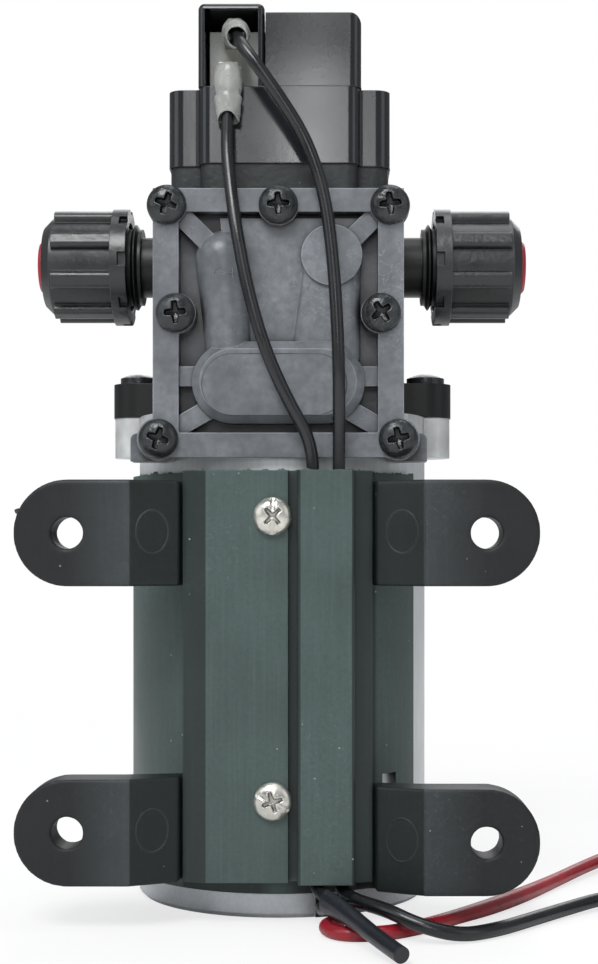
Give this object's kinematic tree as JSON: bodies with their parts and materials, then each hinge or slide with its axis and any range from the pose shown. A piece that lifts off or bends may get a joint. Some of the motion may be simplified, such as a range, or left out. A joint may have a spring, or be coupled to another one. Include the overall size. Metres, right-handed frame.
{
  "type": "diaphragm pump",
  "caption": "Small motor-driven diaphragm pump with side ports under union nuts, a pressure switch on top and sliding rubber feet on a rail.",
  "frame": {"origin": "on the motor axis, at the outer face of the motor's end cap, on which the part stands", "axes": "+Z along the motor axis to the pump head; -Y towards the side of the feet; +X right seen from there"},
  "size_m": [0.1411, 0.0934, 0.1578],
  "materials": {
    "zinc_steel": "zinc plated steel",
    "cast_aluminium": "cast aluminium",
    "bright_steel": "bright zinc screws and ground steel",
    "black_screws": "black oxide screws",
    "core_steel": "laminated steel and ferrite",
    "copper": "enamelled copper and bare copper",
    "carbon": "carbon",
    "head_plastic": "glass filled black nylon",
    "switch_plastic": "moulded black nylon",
    "nut_plastic": "textured black plastic",
    "base_plastic": "satin greenish black plastic",
    "foot_rubber": "matt black rubber",
    "seal_rubber": "black rubber",
    "plug_red": "red polyethylene",
    "holder_plastic": "brown phenolic",
    "grey_plastic": "light grey plastic",
    "tinned_brass": "tinned brass",
    "clear_sleeve": "milky translucent vinyl",
    "wire_black": "black wire insulation",
    "wire_red": "red wire insulation",
    "tie_nylon": "black nylon tie"
  },
  "bodies": {
    "pump": {"base_rail": "base_plastic", "base_screws": "bright_steel", "brush_holder": "holder_plastic", "brush_leads": "wire_black", "brush_springs": "bright_steel", "brushes": "carbon", "cover_screws": "black_screws", "cover_seals": "seal_rubber", "diaphragms": "seal_rubber", "drive_flange": "cast_aluminium", "duct_leads": "wire_black", "field_magnets": "core_steel", "flange_screws": "black_screws", "front_cover": "head_plastic", "lead_grommet": "seal_rubber", "lead_ties": "tie_nylon", "microswitch_body": "grey_plastic", "motor_bearings": "bright_steel", "motor_can": "zinc_steel", "motor_end_cap": "zinc_steel", "motor_lead_black": "wire_black", "motor_lead_coil": "wire_red", "motor_lead_red": "wire_red", "pump_body": "head_plastic", "rear_cover": "head_plastic", "splice_sleeve": "wire_black", "spring_seat": "switch_plastic", "supply_lead_black": "wire_black", "supply_lead_coil": "wire_black", "switch_base": "switch_plastic", "switch_cap": "switch_plastic", "switch_diaphragm": "seal_rubber", "switch_housing": "switch_plastic", "switch_lead_lower": "wire_black", "switch_lead_tail": "wire_black", "switch_lead_upper": "wire_black", "switch_spring": "bright_steel", "switch_terminals": "tinned_brass", "terminal_shroud": "switch_plastic", "terminal_sleeves": "clear_sleeve", "umbrella_valves": "seal_rubber", "valve_plates": "head_plastic"},
    "rotor": {"motor_shaft": "bright_steel", "armature_core": "core_steel", "armature_windings": "copper", "commutator": "copper", "eccentric": "bright_steel"},
    "yoke": {"crank_bearing": "bright_steel", "yoke": "head_plastic", "piston_plates": "bright_steel"},
    "plunger": {"switch_piston": "switch_plastic"},
    "button": {"microswitch_button": "grey_plastic"},
    "left_plug": {"left_dust_plug": "plug_red"},
    "left_nut": {"left_union_nut": "nut_plastic"},
    "right_plug": {"right_dust_plug": "plug_red"},
    "right_nut": {"right_union_nut": "nut_plastic"},
    "foot_tl": {"foot_top_left": "foot_rubber"},
    "foot_tr": {"foot_top_right": "foot_rubber"},
    "foot_bl": {"foot_bottom_left": "foot_rubber"},
    "foot_br": {"foot_bottom_right": "foot_rubber"}
  },
  "joints": [
    {"name": "rotor_spin", "type": "hinge", "parent": "pump", "child": "rotor", "pos_m": [0, 0, 0.05], "axis": [0, 0, 1], "continuous": true},
    {"name": "yoke_orbit", "type": "hinge", "parent": "rotor", "child": "yoke", "pos_m": [0.0012, 0, 0.098], "axis": [0, 0, 1], "continuous": true},
    {"name": "plunger_slide", "type": "slide", "parent": "pump", "child": "plunger", "axis": [0, 0, 1], "range_m": [0, 0.0008], "stiffness_N_per_m": 500, "springref_m": -0.002, "deforming": ["switch_spring"]},
    {"name": "button_press", "type": "slide", "parent": "pump", "child": "button", "axis": [0, 0, 1], "range_m": [0, 0.0008]},
    {"name": "left_plug_pull", "type": "slide", "parent": "pump", "child": "left_plug", "axis": [-1, 0, 0], "range_m": [0, 0.012]},
    {"name": "left_nut_turn", "type": "hinge", "parent": "left_plug", "child": "left_nut", "pos_m": [-0.036, 0, 0.1158], "axis": [-1, 0, 0], "range_deg": [0, 2160]},
    {"name": "right_plug_pull", "type": "slide", "parent": "pump", "child": "right_plug", "axis": [1, 0, 0], "range_m": [0, 0.012]},
    {"name": "right_nut_turn", "type": "hinge", "parent": "right_plug", "child": "right_nut", "pos_m": [0.036, 0, 0.1158], "axis": [1, 0, 0], "range_deg": [0, 2160]},
    {"name": "foot_tl_slide", "type": "slide", "parent": "pump", "child": "foot_tl", "axis": [0, 0, 1], "range_m": [-0.012, 0.0015]},
    {"name": "foot_tr_slide", "type": "slide", "parent": "pump", "child": "foot_tr", "axis": [0, 0, 1], "range_m": [-0.012, 0.0015]},
    {"name": "foot_bl_slide", "type": "slide", "parent": "pump", "child": "foot_bl", "axis": [0, 0, 1], "range_m": [-0.001, 0.012]},
    {"name": "foot_br_slide", "type": "slide", "parent": "pump", "child": "foot_br", "axis": [0, 0, 1], "range_m": [-0.001, 0.012]}
  ],
  "couplings": [
    {"joint": "yoke_orbit", "follows": "rotor_spin", "ratio": -1},
    {"joint": "button_press", "follows": "plunger_slide", "ratio": 1},
    {"joint": "left_nut_turn", "follows": "left_plug_pull", "rad_per_m": 3141.6},
    {"joint": "right_nut_turn", "follows": "right_plug_pull", "rad_per_m": 3141.6}
  ]
}
